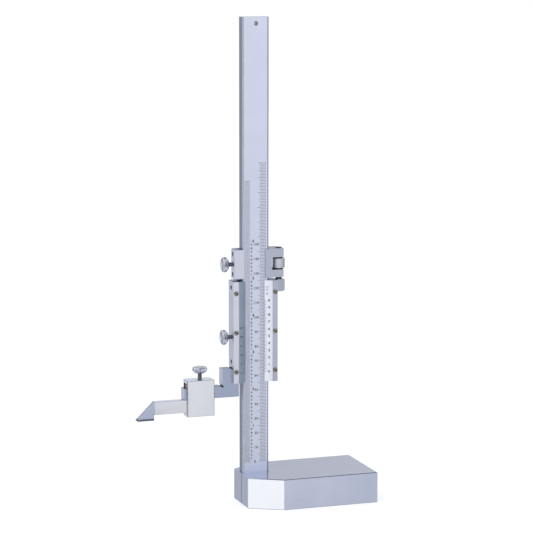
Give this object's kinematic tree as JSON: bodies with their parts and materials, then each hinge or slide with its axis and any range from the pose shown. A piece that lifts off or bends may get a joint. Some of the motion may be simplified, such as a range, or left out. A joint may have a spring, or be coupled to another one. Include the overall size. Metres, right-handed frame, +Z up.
{
  "type": "height gauge",
  "caption": "Vernier height gauge: upright scaled beam on a heavy base, slider with bevelled verniers and fine feed, and a carbide-tipped scriber in a clamp sleeve.",
  "frame": {"origin": "middle of the base's underside", "axes": "+X along the base away from the scriber, +Y from front to back, +Z up along the beam"},
  "size_m": [0.1629, 0.055, 0.3315],
  "materials": {
    "base_steel": "ground and lapped",
    "beam_steel": "satin chrome with engraved scales",
    "slider_steel": "ground satin",
    "satin_plate": "matt satin chrome",
    "screw_steel": "turned",
    "gib_steel": "ground",
    "black_steel": "blackened",
    "knurled_steel": "turned and knurled",
    "box_steel": "satin",
    "brass": "milled",
    "carbide": "ground hard metal"
  },
  "bodies": {
    "base": {"base_block": "base_steel", "beam": "beam_steel", "base_clamp_screws": "black_steel"},
    "slider": {"slider_frame": "slider_steel", "vernier_plate_mm": "satin_plate", "vernier_plate_inch": "satin_plate", "vernier_plate_screws": "screw_steel", "slider_gib": "gib_steel", "slider_gib_screws": "black_steel", "feed_rod": "black_steel", "feed_rod_pin": "gib_steel"},
    "slider_lock_pad": {"slider_lock_pad": "brass"},
    "slider_lock_screw": {"slider_lock_screw": "knurled_steel"},
    "carriage": {"carriage_frame": "slider_steel", "carriage_gib": "gib_steel", "carriage_gib_screws": "black_steel"},
    "carriage_lock_pad": {"carriage_lock_pad": "brass"},
    "carriage_lock_screw": {"carriage_lock_screw": "knurled_steel"},
    "feed_nut": {"feed_nut": "knurled_steel"},
    "clamp_box": {"clamp_box": "box_steel"},
    "pressure_pad": {"pressure_pad": "brass"},
    "clamp_screw": {"clamp_screw": "knurled_steel"},
    "scriber": {"scriber_bar": "box_steel", "carbide_tip": "carbide"}
  },
  "joints": [
    {"name": "slider_slide", "type": "slide", "parent": "base", "child": "slider", "axis": [0, 0, 1], "range_m": [-0.0625, 0.0875]},
    {"name": "carriage_feed", "type": "slide", "parent": "slider", "child": "carriage", "axis": [0, 0, 1], "range_m": [-0.0017, 0.006]},
    {"name": "feed_nut_turn", "type": "hinge", "parent": "carriage", "child": "feed_nut", "pos_m": [-0.0172, 0.0016, 0.16505], "axis": [0, 0, 1], "range_deg": [-1224, 4320]},
    {"name": "slider_lock_push", "type": "slide", "parent": "slider", "child": "slider_lock_pad", "axis": [1, 0, 0], "range_m": [-0.001, 0]},
    {"name": "slider_lock_turn", "type": "hinge", "parent": "slider_lock_pad", "child": "slider_lock_screw", "pos_m": [-0.05105, 0.0015, 0.116], "axis": [1, 0, 0], "range_deg": [-720, 0]},
    {"name": "carriage_lock_push", "type": "slide", "parent": "carriage", "child": "carriage_lock_pad", "axis": [1, 0, 0], "range_m": [-0.001, 0]},
    {"name": "carriage_lock_turn", "type": "hinge", "parent": "carriage_lock_pad", "child": "carriage_lock_screw", "pos_m": [-0.04995, 0.0015, 0.1656], "axis": [1, 0, 0], "range_deg": [-720, 0]},
    {"name": "clamp_box_slide", "type": "slide", "parent": "slider", "child": "clamp_box", "axis": [1, 0, 0], "range_m": [-0.008, 0.0059]},
    {"name": "scriber_slide", "type": "slide", "parent": "clamp_box", "child": "scriber", "axis": [1, 0, 0], "range_m": [-0.005, 0.014]},
    {"name": "clamp_push", "type": "slide", "parent": "clamp_box", "child": "pressure_pad", "axis": [0, 0, -1], "range_m": [-0.001, 0]},
    {"name": "clamp_turn", "type": "hinge", "parent": "pressure_pad", "child": "clamp_screw", "pos_m": [-0.07305, 0.0028, 0.088], "axis": [0, 0, -1], "range_deg": [-720, 0]}
  ],
  "couplings": [
    {"joint": "feed_nut_turn", "follows": "carriage_feed", "rad_per_m": 12566},
    {"joint": "slider_lock_turn", "follows": "slider_lock_push", "rad_per_m": 12566},
    {"joint": "carriage_lock_turn", "follows": "carriage_lock_push", "rad_per_m": 12566},
    {"joint": "clamp_turn", "follows": "clamp_push", "rad_per_m": 12566}
  ]
}
